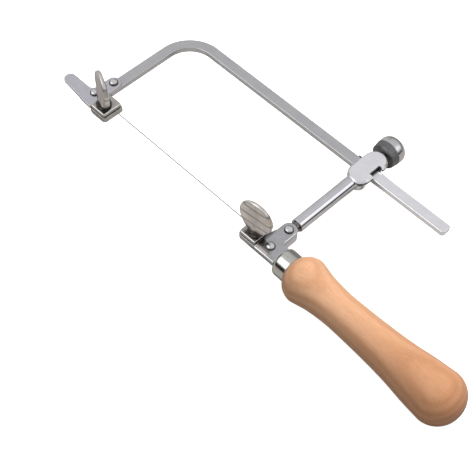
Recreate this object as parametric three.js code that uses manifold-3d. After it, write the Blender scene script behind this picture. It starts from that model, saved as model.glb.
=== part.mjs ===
// Adjustable jeweler's saw frame, laid flat.
//
// Design axes, in millimetres: +X runs along the blade towards the handle, +Y runs from the blade
// towards the spine, and +Z is square to the frame, on the side of the two clamp screws.
// The blade lies close to the line y = 0, and x = 0 is the axis of the rear rod.
// The finished group is moved so that its origin is the middle of the bottom of its box.
import * as THREE from 'three';
import { mergeVertices } from 'three/addons/utils/BufferGeometryUtils.js';
import Module from 'manifold-3d';

const wasm = await Module();
wasm.setup();

// ---- Driving dimensions, mm ----

const BAR = { halfThickness: 1.65, width: 6.3, bevel: 0.35 };
const BOW = { armX: -131.7, armEndY: 6.2, spineY: 67.6, endX: 53.5, cornerRadius: 21, endRadius: 1.6 };
const FIT = 0.05; // gap between two flat faces that rest on each other
const PLATE_THICKNESS = 2;
const BLADE = { length: 130, width: 0.6, thickness: 0.3, frontX: -131.1, y: -0.4 };
const GROOVE = { halfWidth: 0.7, depth: 0.45, endGap: 0.55 };
const RIVET = { shankRadius: 1.5, holeRadius: 1.56, headRadius: 2.5, headHeight: 1.35, tailRadius: 2.2, tailHeight: 0.5 };
const PAD = { length: 10.8, width: 12.2, thickness: 2, centreY: -1.9, cornerRadius: 0.8, bevel: 0.4 };
const WING = {
  shankRadius: 1.9, holeRadius: 2.06, hubRadius: 4.1, neckRadius: 2.4, neckHeight: 5.4,
  discRadius: 9.9, discCentre: 12.1, rootThickness: 3.3, tipThickness: 2.3, y: -2.9,
};
const FRONT = { screwX: -123.3, padX: -123, wingAngle: 156, tongueTipX: -150.6 };
const REAR = { screwX: -9.5, padX: -10.5, wingAngle: 6 };
const BLOCK = {
  lowLobeY: 61.5, highLobeY: 73, capX: 0.8, capRadius: 6.5, capTop: 4.3, capBevel: 0.9,
  coreX: 0.2, coreRadius: 4.4, coreBevel: 0.6, bossRadius: 4.1, bossDepth: 6.3,
};
const WINDOW = { lowY: 64.15, highY: 72.4, halfHeight: 1.95 };
const WAIST = { x: 4.6, highY: 71.7 };
const ROD = {
  radius: 3.7, footY: 16.5, topY: 57, spigotRadius: 2.6, spigotTopY: 63,
  neckRadius: 2.9, neckY: 15, footDepth: 3.5,
};
const LOCK = {
  shoeLeftX: -8.4, shoeRightX: 5.3, shoeHalfWidth: 1.6, shoeThickness: 0.8, pointRadius: 1.7,
  studRadius: 2.5, knobRadius: 7.8, knobY: 80.2, knobTopY: 92,
};
const HANDLE = {
  axisY: -3.3, tilt: -1, ferruleX: 9.2, ferruleEndX: 17.1, ferruleRadius: 7.7, buttX: 121.9, boreRadius: 3.4,
};
const TANG = { y: -3.8, halfWidth: 2.1, endX: 58 };

// Facets round a full turn of a large, a middling and a small round, and along each arc of a flat shape.
const ROUND_FACETS = 30;
const BORE_FACETS = 24;
const SMALL_FACETS = 16;
const CURVE_STEPS = 7;

const layerTop = BAR.halfThickness;
const layerBottom = -BAR.halfThickness;
const plateBottom = layerTop + FIT;
const plateTop = plateBottom + PLATE_THICKNESS;
const bladeBottom = layerTop + FIT;
const bladeTop = bladeBottom + BLADE.thickness;
const padBottom = bladeTop + FIT;
const padTop = padBottom + PAD.thickness;
const bladeEndX = BLADE.frontX + BLADE.length;
const plateEndX = HANDLE.ferruleX - 0.3;
const spineLow = BOW.spineY - BAR.width / 2;
const spineHigh = BOW.spineY + BAR.width / 2;
const armLeft = BOW.armX - BAR.width / 2;
const armRight = BOW.armX + BAR.width / 2;

const ARM_RIVET = { x: -132, y: 11.3 };
const TONGUE_RIVET = { x: -133.4, y: -0.8 };
const ROD_RIVET = { x: 0.7, y: 10 };
const BASE_RIVET = { x: 1.4, y: -3.5 };

// ---- Materials ----

const metal = (color, roughness) => new THREE.MeshStandardMaterial({
  color, roughness, metalness: 1, flatShading: true,
});
const chrome = () => metal(0xc6c6cd, 0.18);
const nickel = () => metal(0xa9a39c, 0.34);
const steel = () => metal(0x85878c, 0.4);
const beech = () => new THREE.MeshStandardMaterial({
  color: 0xdcae84, roughness: 0.5, metalness: 0, flatShading: true,
});

// ---- Helpers: closed solids from three.js geometry ----

/** A manifold solid from a closed three.js geometry. */
function solid(geometry) {
  geometry.deleteAttribute('normal');
  geometry.deleteAttribute('uv');
  const merged = mergeVertices(geometry, 1e-4);
  const corners = merged.index.array;
  const faces = [];
  for (let i = 0; i < corners.length; i += 3) {
    const [a, b, c] = [corners[i], corners[i + 1], corners[i + 2]];
    if (a !== b && b !== c && c !== a) faces.push(a, b, c);
  }
  return new wasm.Manifold(new wasm.Mesh({
    numProp: 3,
    vertProperties: new Float32Array(merged.attributes.position.array),
    triVerts: new Uint32Array(faces),
  }));
}

/** A named mesh from a manifold solid. */
function piece(name, body, material) {
  const { vertProperties, triVerts } = body.getMesh();
  const geometry = new THREE.BufferGeometry();
  geometry.setAttribute('position', new THREE.BufferAttribute(new Float32Array(vertProperties), 3));
  geometry.setIndex(new THREE.BufferAttribute(new Uint32Array(triVerts), 1));
  const mesh = new THREE.Mesh(geometry, material);
  mesh.name = name;
  return mesh;
}

/** A flat shape given thickness from z = low to z = high, with its edges bevelled. */
function slab(shape, low, high, bevel = 0) {
  const geometry = new THREE.ExtrudeGeometry(shape, {
    depth: high - low - 2 * bevel,
    curveSegments: CURVE_STEPS,
    bevelEnabled: bevel > 0,
    bevelThickness: bevel,
    bevelSize: bevel,
    bevelOffset: -bevel,
    bevelSegments: 1,
  });
  return solid(geometry.translate(0, 0, low + bevel));
}

/** A box from its low corner to its high corner. */
function block(low, high) {
  const [x, y, z] = [0, 1, 2].map((i) => high[i] - low[i]);
  const geometry = new THREE.BoxGeometry(x, y, z);
  return solid(geometry.translate(low[0] + x / 2, low[1] + y / 2, low[2] + z / 2));
}

/** A shape turned about an axis: the profile is a list of [radius, distance along the axis]. */
function turned(profile, axis, segments = ROUND_FACETS) {
  const points = profile.map(([r, d]) => new THREE.Vector2(r, d));
  const geometry = new THREE.LatheGeometry(points, segments);
  if (axis === 'x') geometry.rotateZ(-Math.PI / 2);
  if (axis === 'z') geometry.rotateX(Math.PI / 2);
  return solid(geometry);
}

/** A plain cylinder about an axis through the origin, from one distance to another. */
function cylinder(radius, from, to, axis, segments = BORE_FACETS) {
  return turned([[0, from], [radius, from], [radius, to], [0, to]], axis, segments);
}

/** Profile points round a quarter of an ellipse, from angle a to angle b in degrees. */
function roundOff(centreR, centreD, halfR, halfD, a, b, steps) {
  return Array.from({ length: steps + 1 }, (_, i) => {
    const angle = THREE.MathUtils.degToRad(a + ((b - a) * i) / steps);
    return [Math.max(0, centreR + halfR * Math.cos(angle)), centreD + halfD * Math.sin(angle)];
  });
}

/** A rectangle with rounded corners, as a shape. */
function roundedRectangle(left, low, right, high, radius) {
  const shape = new THREE.Shape();
  shape.moveTo(left + radius, low);
  shape.absarc(right - radius, low + radius, radius, -Math.PI / 2, 0);
  shape.absarc(right - radius, high - radius, radius, 0, Math.PI / 2);
  shape.absarc(left + radius, high - radius, radius, Math.PI / 2, Math.PI);
  shape.absarc(left + radius, low + radius, radius, Math.PI, 1.5 * Math.PI);
  return shape;
}

/** A round hole square to the frame, through everything at that place. */
function throughHole(place, radius) {
  return cylinder(radius, -20, 20, 'z', SMALL_FACETS).translate([place.x, place.y, 0]);
}

// ---- Bow ----

/** Flat bar: the front arm, one rounded corner and the long spine. */
function bow() {
  const outer = BOW.cornerRadius;
  const inner = outer - BAR.width;
  const cornerX = armLeft + outer;
  const cornerY = spineHigh - outer;
  const end = BOW.endRadius;
  const shape = new THREE.Shape();
  shape.moveTo(armLeft, BOW.armEndY + end);
  shape.absarc(cornerX, cornerY, outer, Math.PI, Math.PI / 2, true);
  shape.absarc(BOW.endX - end, spineHigh - end, end, Math.PI / 2, 0, true);
  shape.absarc(BOW.endX - end, spineLow + end, end, 0, -Math.PI / 2, true);
  shape.absarc(cornerX, cornerY, inner, Math.PI / 2, Math.PI, false);
  shape.absarc(armRight - end, BOW.armEndY + end, end, 0, -Math.PI / 2, true);
  shape.absarc(armLeft + end, BOW.armEndY + end, end, -Math.PI / 2, -Math.PI, true);
  return slab(shape, layerBottom, layerTop, BAR.bevel)
    .subtract(throughHole(ARM_RIVET, RIVET.holeRadius));
}

// ---- Plates and fixed jaws ----

/** Slot under a plate that the end of the blade lies in. */
function bladeGroove(fromX, toX) {
  return block(
    [fromX, BLADE.y - GROOVE.halfWidth, plateBottom - 1],
    [toX, BLADE.y + GROOVE.halfWidth, plateBottom + GROOVE.depth],
  );
}

/** Plate over the end of the arm, drawn out into the long tongue. */
function frontPlate() {
  const lobe = 4.1;
  const left = ARM_RIVET.x - lobe;
  const right = FRONT.padX - PAD.length / 2 - 0.4;
  const tip = { x: FRONT.tongueTipX, y: -3.35, radius: 3.4 };
  const fillet = 3.2;
  const shape = new THREE.Shape();
  shape.moveTo(right, 4);
  shape.lineTo(right, -8.3);
  shape.quadraticCurveTo(right, -8.9, right - 1, -8.9);
  shape.lineTo(-136.4, -8.3);
  shape.absarc(tip.x, tip.y, tip.radius, 1.54 * Math.PI, Math.PI / 2, true);
  shape.lineTo(left - fillet, tip.y + tip.radius);
  shape.absarc(left - fillet, tip.y + tip.radius + fillet, fillet, -Math.PI / 2, 0, false);
  shape.absarc(ARM_RIVET.x, ARM_RIVET.y, lobe, Math.PI, 0, true);
  return slab(shape, plateBottom, plateTop, 0.3)
    .subtract(throughHole(ARM_RIVET, RIVET.holeRadius))
    .subtract(throughHole(TONGUE_RIVET, RIVET.holeRadius))
    .subtract(bladeGroove(BLADE.frontX - GROOVE.endGap, right + 1));
}

/** Fixed jaw of the front clamp, riveted under the plate beside the end of the arm. */
function frontJawBase() {
  const [left, right, low, high] = [-136, -116.8, -8.4, 4.8];
  const shape = new THREE.Shape();
  shape.moveTo(left + 1, -5.6);
  shape.lineTo(-131.4, -5.6);
  shape.quadraticCurveTo(-129.2, low, -126.4, low);
  shape.absarc(right - 2.2, low + 2.2, 2.2, -Math.PI / 2, 0);
  shape.absarc(right - 1.2, high - 1.2, 1.2, 0, Math.PI / 2);
  shape.lineTo(left + 1, high);
  shape.quadraticCurveTo(left, high, left, high - 1);
  shape.lineTo(left, -4.6);
  shape.quadraticCurveTo(left, -5.6, left + 1, -5.6);
  return slab(shape, layerBottom, layerTop, 0.3)
    .subtract(throughHole(TONGUE_RIVET, RIVET.holeRadius))
    .subtract(throughHole({ x: FRONT.screwX, y: WING.y }, WING.holeRadius));
}

/** Plate that joins the foot of the rod to the handle end, with a lobe over the foot. */
function rearPlate() {
  const lobe = 4.3;
  const centreX = 0.5;
  const right = plateEndX;
  const shape = new THREE.Shape();
  shape.moveTo(right, -9.4);
  shape.lineTo(right, 2);
  shape.lineTo(centreX + lobe + 1.2, 2.4);
  shape.quadraticCurveTo(centreX + lobe, 2.6, centreX + lobe, 4);
  shape.absarc(centreX, 10.3, lobe, 0, Math.PI);
  shape.lineTo(-4.7, -9);
  shape.quadraticCurveTo(-4.7, -9.5, -4.2, -9.5);
  return slab(shape, plateBottom, plateTop, 0.35)
    .subtract(throughHole(ROD_RIVET, RIVET.holeRadius))
    .subtract(throughHole(BASE_RIVET, RIVET.holeRadius))
    .subtract(bladeGroove(-8, bladeEndX + GROOVE.endGap));
}

/** Fixed jaw of the rear clamp, which carries on as the tang inside the handle. */
function rearJawBase() {
  const [left, right, low, high] = [-16.7, plateEndX, -8.4, 4.6];
  const shape = new THREE.Shape();
  shape.moveTo(right, low);
  shape.lineTo(right, 1.9);
  shape.lineTo(-5.4, 1.9);
  shape.lineTo(-5.4, high);
  shape.absarc(left + 1.6, high - 1.6, 1.6, Math.PI / 2, Math.PI);
  shape.absarc(left + 2.4, low + 2.4, 2.4, Math.PI, 1.5 * Math.PI);
  const tang = block(
    [right - 4, TANG.y - TANG.halfWidth, layerBottom],
    [TANG.endX, TANG.y + TANG.halfWidth, layerTop],
  );
  return slab(shape, layerBottom, layerTop, 0.3)
    .add(tang)
    .subtract(throughHole(BASE_RIVET, RIVET.holeRadius))
    .subtract(throughHole({ x: REAR.screwX, y: WING.y }, WING.holeRadius));
}

/** Domed rivet through a plate and what lies under it, down to the given underside. */
function rivet(place, underside = layerBottom) {
  const top = plateTop + FIT;
  const bottom = underside - FIT;
  const profile = [
    [0, bottom - RIVET.tailHeight],
    ...roundOff(0, bottom, RIVET.tailRadius, RIVET.tailHeight, -60, 0, 2),
    [RIVET.shankRadius, bottom],
    [RIVET.shankRadius, top],
    ...roundOff(0, top, RIVET.headRadius, RIVET.headHeight, 0, 90, 4),
  ];
  return turned(profile, 'z', SMALL_FACETS).translate([place.x, place.y, 0]);
}

// ---- Clamps ----

/** Loose square jaw that a clamp screw presses on the blade. */
function jawPad(centreX, screwX) {
  const shape = roundedRectangle(
    centreX - PAD.length / 2,
    PAD.centreY - PAD.width / 2,
    centreX + PAD.length / 2,
    PAD.centreY + PAD.width / 2,
    PAD.cornerRadius,
  );
  return slab(shape, padBottom, padTop, PAD.bevel)
    .subtract(throughHole({ x: screwX, y: WING.y }, WING.holeRadius));
}

/** Clamp screw about the Z axis, with a round flat paddle that thins a little towards its top. */
function wingScrew() {
  const seat = padTop + FIT;
  const centre = seat + WING.discCentre;
  const tip = centre + WING.discRadius;
  const hub = turned([
    [0, layerBottom - 0.9],
    [WING.shankRadius - 0.4, layerBottom - 0.9],
    [WING.shankRadius, layerBottom - 0.5],
    [WING.shankRadius, seat],
    [WING.hubRadius - 0.4, seat],
    [WING.hubRadius, seat + 0.4],
    [WING.hubRadius, seat + 1.3],
    [WING.neckRadius, seat + WING.neckHeight],
    [0, seat + WING.neckHeight],
  ], 'z', BORE_FACETS);
  const wedge = new THREE.Shape();
  wedge.moveTo(-WING.rootThickness / 2, seat + 0.6);
  wedge.lineTo(WING.rootThickness / 2, seat + 0.6);
  wedge.lineTo(WING.tipThickness / 2, tip);
  wedge.lineTo(-WING.tipThickness / 2, tip);
  const wedgeSlab = new THREE.ExtrudeGeometry(wedge, { depth: 30, bevelEnabled: false });
  wedgeSlab.translate(0, 0, -15).rotateX(Math.PI / 2).rotateZ(Math.PI / 2);
  const half = WING.rootThickness / 2;
  const rim = 0.9;
  const disc = turned([
    [0, -half],
    ...roundOff(WING.discRadius - rim, 0, rim, half, -90, 90, 4),
    [0, half],
  ], 'y').translate([0, 0, centre]);
  return hub.add(disc.intersect(solid(wedgeSlab)));
}

/** A clamp screw mesh, turned to its angle about its own axis. */
function placedWing(name, x, angle) {
  const mesh = piece(name, wingScrew(), nickel());
  mesh.position.set(x, WING.y, 0);
  mesh.rotation.z = THREE.MathUtils.degToRad(angle);
  return mesh;
}

// ---- Slide block and its lock ----

/** A pill outline along Y, round both lobes of the block. */
function pill(centreX, radius) {
  const shape = new THREE.Shape();
  shape.absarc(centreX, BLOCK.lowLobeY, radius, Math.PI, 2 * Math.PI);
  shape.absarc(centreX, BLOCK.highLobeY, radius, 0, Math.PI);
  return shape;
}

/** Block on top of the rod: a wide pill-shaped cap on a narrower core, with a window for the spine. */
function slideBlock() {
  const { capX, capRadius, capTop, capBevel, coreX, coreRadius, coreBevel, lowLobeY } = BLOCK;
  const underCap = block([-20, 40, -20], [20, 100, WINDOW.halfHeight]);
  const cap = slab(pill(capX, capRadius), 0, capTop, capBevel).subtract(underCap);
  const core = slab(pill(coreX, coreRadius), -coreRadius, capTop - capBevel, coreBevel);
  const boss = cylinder(BLOCK.bossRadius, -BLOCK.bossDepth, 0, 'z')
    .translate([coreX, lowLobeY, 0]);
  const window = block(
    [-10, WINDOW.lowY, -WINDOW.halfHeight],
    [10, WINDOW.highY, WINDOW.halfHeight],
  );
  const waist = block([WAIST.x, WINDOW.lowY, -10], [10, WAIST.highY, 10]);
  const socket = cylinder(ROD.radius + 0.12, 40, ROD.topY + 0.1, 'y');
  const bore = cylinder(ROD.spigotRadius + 0.1, 40, ROD.spigotTopY + 0.2, 'y');
  const thread = cylinder(LOCK.studRadius + 0.12, WINDOW.highY - 1, 90, 'y');
  return cap
    .add(core)
    .add(boss)
    .subtract(window)
    .subtract(waist)
    .subtract(socket)
    .subtract(bore)
    .subtract(thread);
}

/** Flat shoe that the lock screw presses on the edge of the spine. */
function lockShoe() {
  const low = spineHigh + FIT;
  const outline = roundedRectangle(LOCK.shoeLeftX, low, LOCK.shoeRightX, low + LOCK.shoeThickness, 0.2);
  return slab(outline, -LOCK.shoeHalfWidth, LOCK.shoeHalfWidth, 0.15);
}

/** Threaded stud of the lock, through the upper lobe and up into the knob. */
function lockStud() {
  const low = spineHigh + 2 * FIT + LOCK.shoeThickness;
  return turned([
    [0, low],
    [LOCK.pointRadius, low],
    [LOCK.pointRadius, WINDOW.highY + 0.2],
    [LOCK.studRadius, WINDOW.highY + 0.8],
    [LOCK.studRadius, LOCK.knobY + 5.5],
    [0, LOCK.knobY + 5.5],
  ], 'y', BORE_FACETS);
}

/** Round knob with a domed top, fixed on the stud. */
function lockKnob() {
  const { knobRadius, knobY, knobTopY, studRadius } = LOCK;
  const dome = 4.4;
  const knob = turned([
    [0, knobY],
    [knobRadius - 1.2, knobY],
    [knobRadius - 0.6, knobY + 0.5],
    [knobRadius, knobY + 5.4],
    ...roundOff(knobRadius - dome, knobTopY - dome - 0.4, dome, dome, 0, 80, 5),
    [0, knobTopY],
  ], 'y');
  return knob.subtract(cylinder(studRadius + 0.1, knobY - 1, knobY + 5.7, 'y'));
}

// ---- Rod ----

/** Round rod: a foot cut flat under the rear plate, a neck, the rod and its spigot. */
function rearRod() {
  const { radius, footY, topY, spigotRadius, spigotTopY, neckRadius, neckY, footDepth } = ROD;
  const shaft = turned([
    [0, neckY - 3],
    [neckRadius, neckY - 3],
    [neckRadius, footY],
    [radius - 0.4, footY],
    [radius, footY + 0.4],
    [radius, topY - 0.4],
    [radius - 0.4, topY],
    [spigotRadius, topY],
    [spigotRadius, spigotTopY],
    [0, spigotTopY],
  ], 'y', BORE_FACETS);
  const flat = block([-10, -10, layerTop], [10, neckY, 10]);
  const lobe = { x: 0.5, y: 10.3, radius: 4.2 };
  const foot = new THREE.Shape();
  foot.moveTo(-3.7, 2.4);
  foot.lineTo(lobe.x + lobe.radius, 2.4);
  foot.absarc(lobe.x, lobe.y, lobe.radius, 0, Math.PI);
  return shaft
    .subtract(flat)
    .add(slab(foot, -footDepth, layerTop, 0.5))
    .subtract(throughHole(ROD_RIVET, RIVET.holeRadius));
}

// ---- Handle ----

/** Chrome cup on the front of the handle, with a hole for the tang. */
function ferrule() {
  const { ferruleX, ferruleEndX, ferruleRadius, boreRadius } = HANDLE;
  const wall = 0.8;
  const shoulder = 1.9;
  const edge = ferruleRadius - shoulder;
  const outside = turned([
    [0, ferruleX],
    ...roundOff(edge, ferruleX + shoulder, shoulder, shoulder, -90, 0, 5),
    [ferruleRadius, ferruleEndX - 0.2],
    [ferruleRadius - 0.2, ferruleEndX],
    [0, ferruleEndX],
  ], 'x');
  const inside = turned([
    [0, ferruleX + wall],
    ...roundOff(edge, ferruleX + shoulder, shoulder - wall, shoulder - wall, -90, 0, 3),
    [ferruleRadius - wall, ferruleEndX + 1],
    [0, ferruleEndX + 1],
  ], 'x');
  return outside.subtract(inside).subtract(cylinder(boreRadius, 0, 20, 'x'));
}

/** Turned handle: a neck inside the ferrule, a front bulge, a waist and a round butt. */
function handle() {
  const { ferruleX, ferruleEndX, ferruleRadius, buttX, boreRadius } = HANDLE;
  const neck = ferruleRadius - 1;
  const shoulderX = ferruleEndX + 0.25;
  const butt = { x: 108.8, radius: 13.75 };
  const swell = new THREE.SplineCurve([
    [ferruleRadius + 0.2, shoulderX],
    [9.5, 18.7],
    [11.1, 20.9],
    [12.3, 24.8],
    [11.7, 28.8],
    [10.3, 35.5],
    [9.4, 46],
    [9.5, 57],
    [10.2, 73],
    [11.2, 86],
    [12.7, 97.5],
    [butt.radius, butt.x],
  ].map(([r, x]) => new THREE.Vector2(r, x)));
  const profile = [
    [0, ferruleX + 2.4],
    [neck - 0.8, ferruleX + 2.4],
    [neck, ferruleX + 3.2],
    [neck, shoulderX],
    ...swell.getPoints(18).map((point) => [point.x, point.y]),
    ...roundOff(0, butt.x, butt.radius, buttX - butt.x, 10, 90, 8),
  ];
  return turned(profile, 'x').subtract(cylinder(boreRadius, 0, TANG.endX + 2, 'x'));
}

// ---- Blade ----

/** Fine flat blade, held on edge to the cut between the two clamps. */
function sawBlade() {
  return block(
    [BLADE.frontX, BLADE.y - BLADE.width / 2, bladeBottom],
    [bladeEndX, BLADE.y + BLADE.width / 2, bladeTop],
  );
}

// ---- Assembly ----

const front = new THREE.Group();
front.add(
  piece('frame_bow', bow(), chrome()),
  piece('front_plate', frontPlate(), chrome()),
  piece('front_jaw_base', frontJawBase(), chrome()),
  piece('front_arm_rivet', rivet(ARM_RIVET), chrome()),
  piece('front_tongue_rivet', rivet(TONGUE_RIVET), chrome()),
  piece('front_jaw_pad', jawPad(FRONT.padX, FRONT.screwX), nickel()),
  placedWing('front_wing_screw', FRONT.screwX, FRONT.wingAngle),
);

const slide = new THREE.Group();
slide.add(
  piece('slide_block', slideBlock(), chrome()),
  piece('lock_shoe', lockShoe(), steel()),
  piece('lock_stud', lockStud(), steel()),
  piece('lock_knob', lockKnob(), chrome()),
  piece('rear_rod', rearRod(), chrome()),
);

const rear = new THREE.Group();
rear.add(
  piece('rear_plate', rearPlate(), chrome()),
  piece('rear_jaw_base', rearJawBase(), chrome()),
  piece('rear_rod_rivet', rivet(ROD_RIVET, -ROD.footDepth), chrome()),
  piece('rear_base_rivet', rivet(BASE_RIVET), chrome()),
  piece('rear_jaw_pad', jawPad(REAR.padX, REAR.screwX), nickel()),
  placedWing('rear_wing_screw', REAR.screwX, REAR.wingAngle),
  piece('saw_blade', sawBlade(), steel()),
);

const grip = new THREE.Group();
grip.position.y = HANDLE.axisY;
grip.rotation.z = THREE.MathUtils.degToRad(HANDLE.tilt);
grip.add(
  piece('ferrule', ferrule(), chrome()),
  piece('handle', handle(), beech()),
);

const sawFrame = new THREE.Group();
sawFrame.add(front, slide, rear, grip);

const box = new THREE.Box3().setFromObject(sawFrame, true);
const middle = box.getCenter(new THREE.Vector3());
sawFrame.position.set(-middle.x, -middle.y, -box.min.z);

export default sawFrame;
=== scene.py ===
"""Looks of the jeweler's saw frame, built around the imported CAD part.

Shapes are drawn in millimetres on the design axes: +X along the blade towards the handle, +Y from the
blade towards the spine, +Z towards the clamp screws. X = 0 and Z = 0 lie on the axis of the lock stud,
and y = 0 lies just beside the blade. at() turns such a point into the metres of the shared frame.
"""

import math

import bmesh
import bpy
from mathutils import Matrix, Vector


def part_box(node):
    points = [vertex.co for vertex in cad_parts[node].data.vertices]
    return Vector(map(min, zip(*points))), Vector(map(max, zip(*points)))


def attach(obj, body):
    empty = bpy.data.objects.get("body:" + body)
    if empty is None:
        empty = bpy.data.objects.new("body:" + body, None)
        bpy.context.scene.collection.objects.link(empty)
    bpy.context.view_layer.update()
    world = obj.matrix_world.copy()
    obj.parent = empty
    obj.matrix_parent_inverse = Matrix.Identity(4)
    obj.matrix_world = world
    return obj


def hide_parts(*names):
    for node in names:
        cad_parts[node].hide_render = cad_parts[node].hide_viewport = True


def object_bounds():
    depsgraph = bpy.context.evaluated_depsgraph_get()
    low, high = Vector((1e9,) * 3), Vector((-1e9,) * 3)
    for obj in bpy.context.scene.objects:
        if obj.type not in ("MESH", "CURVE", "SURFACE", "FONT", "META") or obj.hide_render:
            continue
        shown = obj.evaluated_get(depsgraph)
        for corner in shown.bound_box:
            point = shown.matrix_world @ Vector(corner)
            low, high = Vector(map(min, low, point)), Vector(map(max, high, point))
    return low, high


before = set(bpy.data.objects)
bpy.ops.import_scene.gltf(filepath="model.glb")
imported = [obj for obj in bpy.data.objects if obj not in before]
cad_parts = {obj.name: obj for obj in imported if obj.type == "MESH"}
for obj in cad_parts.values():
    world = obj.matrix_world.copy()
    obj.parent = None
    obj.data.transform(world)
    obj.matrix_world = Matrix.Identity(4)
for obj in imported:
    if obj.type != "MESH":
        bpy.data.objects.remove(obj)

CAD_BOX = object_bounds()
MM = 0.001

# ---- Where the design axes lie in the frame ----

BLADE_Y = -0.4
STUD_MIDDLE = [sum(pair) / 2 for pair in zip(*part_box("lock_stud"))]
BLADE_MIDDLE = [sum(pair) / 2 for pair in zip(*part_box("saw_blade"))]
ORIGIN = Vector((STUD_MIDDLE[0], BLADE_MIDDLE[1] - BLADE_Y * MM, STUD_MIDDLE[2]))


def at(x, y, z):
    """A design point in millimetres, as a point of the frame in metres."""
    return ORIGIN + Vector((x, y, z)) * MM


def span(node):
    """Lowest and highest corner of a CAD node, in design millimetres."""
    return [(corner - ORIGIN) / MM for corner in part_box(node)]


def middle(node):
    """Middle of a CAD node, in design millimetres."""
    low, high = span(node)
    return (low + high) / 2


# ---- Driving dimensions, mm ----

BAR = {"width": 6.3, "corner": 21, "end_corner": 1.6, "bevel": 0.45}
RIVET = {"shank": 1.5, "head_height": 1.35, "lip": 0.12, "tail": 2.2, "tail_height": 0.5, "play": 0.06}
FRONT_PLATE = {"lobe": 4.1, "fillet": 3.2, "tip_radius": 3.4, "tip_y": -3.35, "foot_y": -8.9,
               "bevels": (0.25, 0.4)}
REAR_PLATE = {"lobe": 4.3, "lobe_x": 0.5, "corner": 1.3, "bevels": (0.25, 0.7)}
ROD_FOOT = {"lobe": 4.2, "lobe_y": 10.3, "bottom": -3.5, "bevels": (0.5, 0.2)}
JAW_BEVELS = (0.4, 0.3)
# The blade's ends lie in slots this much longer, wider and deeper.
SLOT = {"end": 0.55, "half_width": 0.7, "depth": 0.45}
PAD = {"corner": 0.9, "bevels": (0.25, 0.62)}
WING = {"shank": 1.9, "play": 0.16, "pitch": 0.7, "thread_depth": 0.28, "hub": 4.1, "neck": 2.9,
        "neck_foot": 3.6, "neck_height": 4.2, "neck_top": 7.9, "disc": 9.9, "centre": 12.1, "rim": 0.9,
        "root": 3.3, "tip": 2.3, "flare": 1.5, "flare_height": 7, "seat_gap": 0.05}
WING_TURN = {"front": 156, "rear": 6}
RIDGE = {"first": 0.9, "pitch": 5.4, "half": 0.85, "height": 0.42, "swell": 0.14}
BLOCK = {"low_lobe": 61.5, "high_lobe": 73, "cap_x": 0.8, "cap_radius": 6.5, "cap_bevel": 0.9,
         "core_x": 0.2, "core_radius": 4.4, "boss_radius": 4.1, "thread_radius": 2.62}
WINDOW = {"low": 64.15, "high": 72.4, "half": 1.95}
WAIST = {"x": 4.6, "high": 71.7}
STUD = {"thread_start": 73, "pitch": 0.8, "thread_depth": 0.3, "point_radius": 1.7}
KNOB = {"radius": 7.8, "bottom_radius": 7.2, "side_end": 84.3, "dome": 4.4, "bore": 2.6, "bore_depth": 5.7,
        "flutes": 36, "flute_depth": 0.13}
ROD = {"radius": 3.7, "foot": 16.5, "top": 57, "spigot": 2.6, "spigot_top": 63, "neck": 2.9, "neck_y": 15,
       "edge": 0.4}
HANDLE = {"y": -3.3, "tilt": -1, "ferrule": 9.2, "ferrule_end": 17.1, "ferrule_radius": 7.7, "bore": 3.4,
          "butt": 108.8, "butt_radius": 13.75, "end": 121.9}
FERRULE = {"wall": 0.8, "shoulder": 1.9}
TANG = {"y": -3.8, "half": 2.1}
TEETH = {"plain_end": 17.0, "pitch": 0.55, "depth": 0.22}

# ---- The photo's view, in degrees, metres and mm of focal length ----

CAMERA = {"azimuth": 44.8, "elevation": 54.6, "roll": 1.36, "distance": 0.560, "focal_length": 87.5}
CAMERA_AIM = Vector((-0.0010, -0.0460, 0.01375))

# ---- Light ----

KEY_LIGHT = {"size": 0.5, "watts": 11.8, "place": (0.05, 0.42, 1.1), "aim": (0.03, -0.03, 0)}
AMBIENT = 0.42
# Height of a direction in the sky where it starts and stops growing brighter, and its strength there.
SKY = (0.02, 0.75, 0.18, 0.70)
# Direction, inner and outer half-angle in degrees, added brightness.
SOFT_BOXES = [
    ((-0.38, -0.56, 0.74), 20, 29, 1.3),
    ((0.66, 0.42, 0.62), 10, 24, 0.72),
    ((-0.95, 0.30, 0.10), 10, 28, 0.45),
]
# The same, with the share of the light that a dark flag takes away.
DARK_FLAGS = [
    ((-0.42, -0.90, 0.06), 20, 30, 0.94),
    ((0.93, 0.36, -0.02), 12, 26, 0.85),
]

# ---- Looks ----

# Scale of each noise, to a metre.
NOISE = {"drift": 42, "cloud": 160, "patch": 700, "spot": 900, "pit": 1300, "fleck": 1500, "fibre": 2200,
         "streak": 2600}
# Painted shade: a near-black colour mixed in where shade falls, in recesses, gaps and under parts.
PAINTED_SHADE = (0.05, 0.042, 0.036)
# Painted shade: a dark colour for lines along the paddle ridges.
RIDGE_SHADE = (0.20, 0.18, 0.165)
# Painted highlight: a near-white colour for the top bevels of plates and pads.
PAINTED_HIGHLIGHT = (0.97, 0.97, 0.975)
PLATE_TOP = span("rear_plate")[1].z
PAD_TOP = span("rear_jaw_pad")[1].z
PAD_END = span("rear_jaw_pad")[1].x
CLAMP_DISC_Z = PAD_TOP + WING["seat_gap"] + WING["centre"]
ALONG_X, ALONG_Y, EVEN = (30, 1, 1), (1, 30, 1), (1, 1, 1)


# ---- Node helpers ----

def link(nodes, source, target):
    nodes.id_data.links.new(source, target)


def feed(nodes, value, socket):
    """Gives an input socket its value: another socket, a plain number or a plain colour."""
    if isinstance(value, bpy.types.NodeSocket):
        link(nodes, value, socket)
    elif isinstance(value, tuple):
        socket.default_value = (*value, 1)
    else:
        socket.default_value = value


def maths(nodes, operation, a, b):
    node = nodes.new("ShaderNodeMath")
    node.operation = operation
    feed(nodes, a, node.inputs[0])
    feed(nodes, b, node.inputs[1])
    return node.outputs["Value"]


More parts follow.
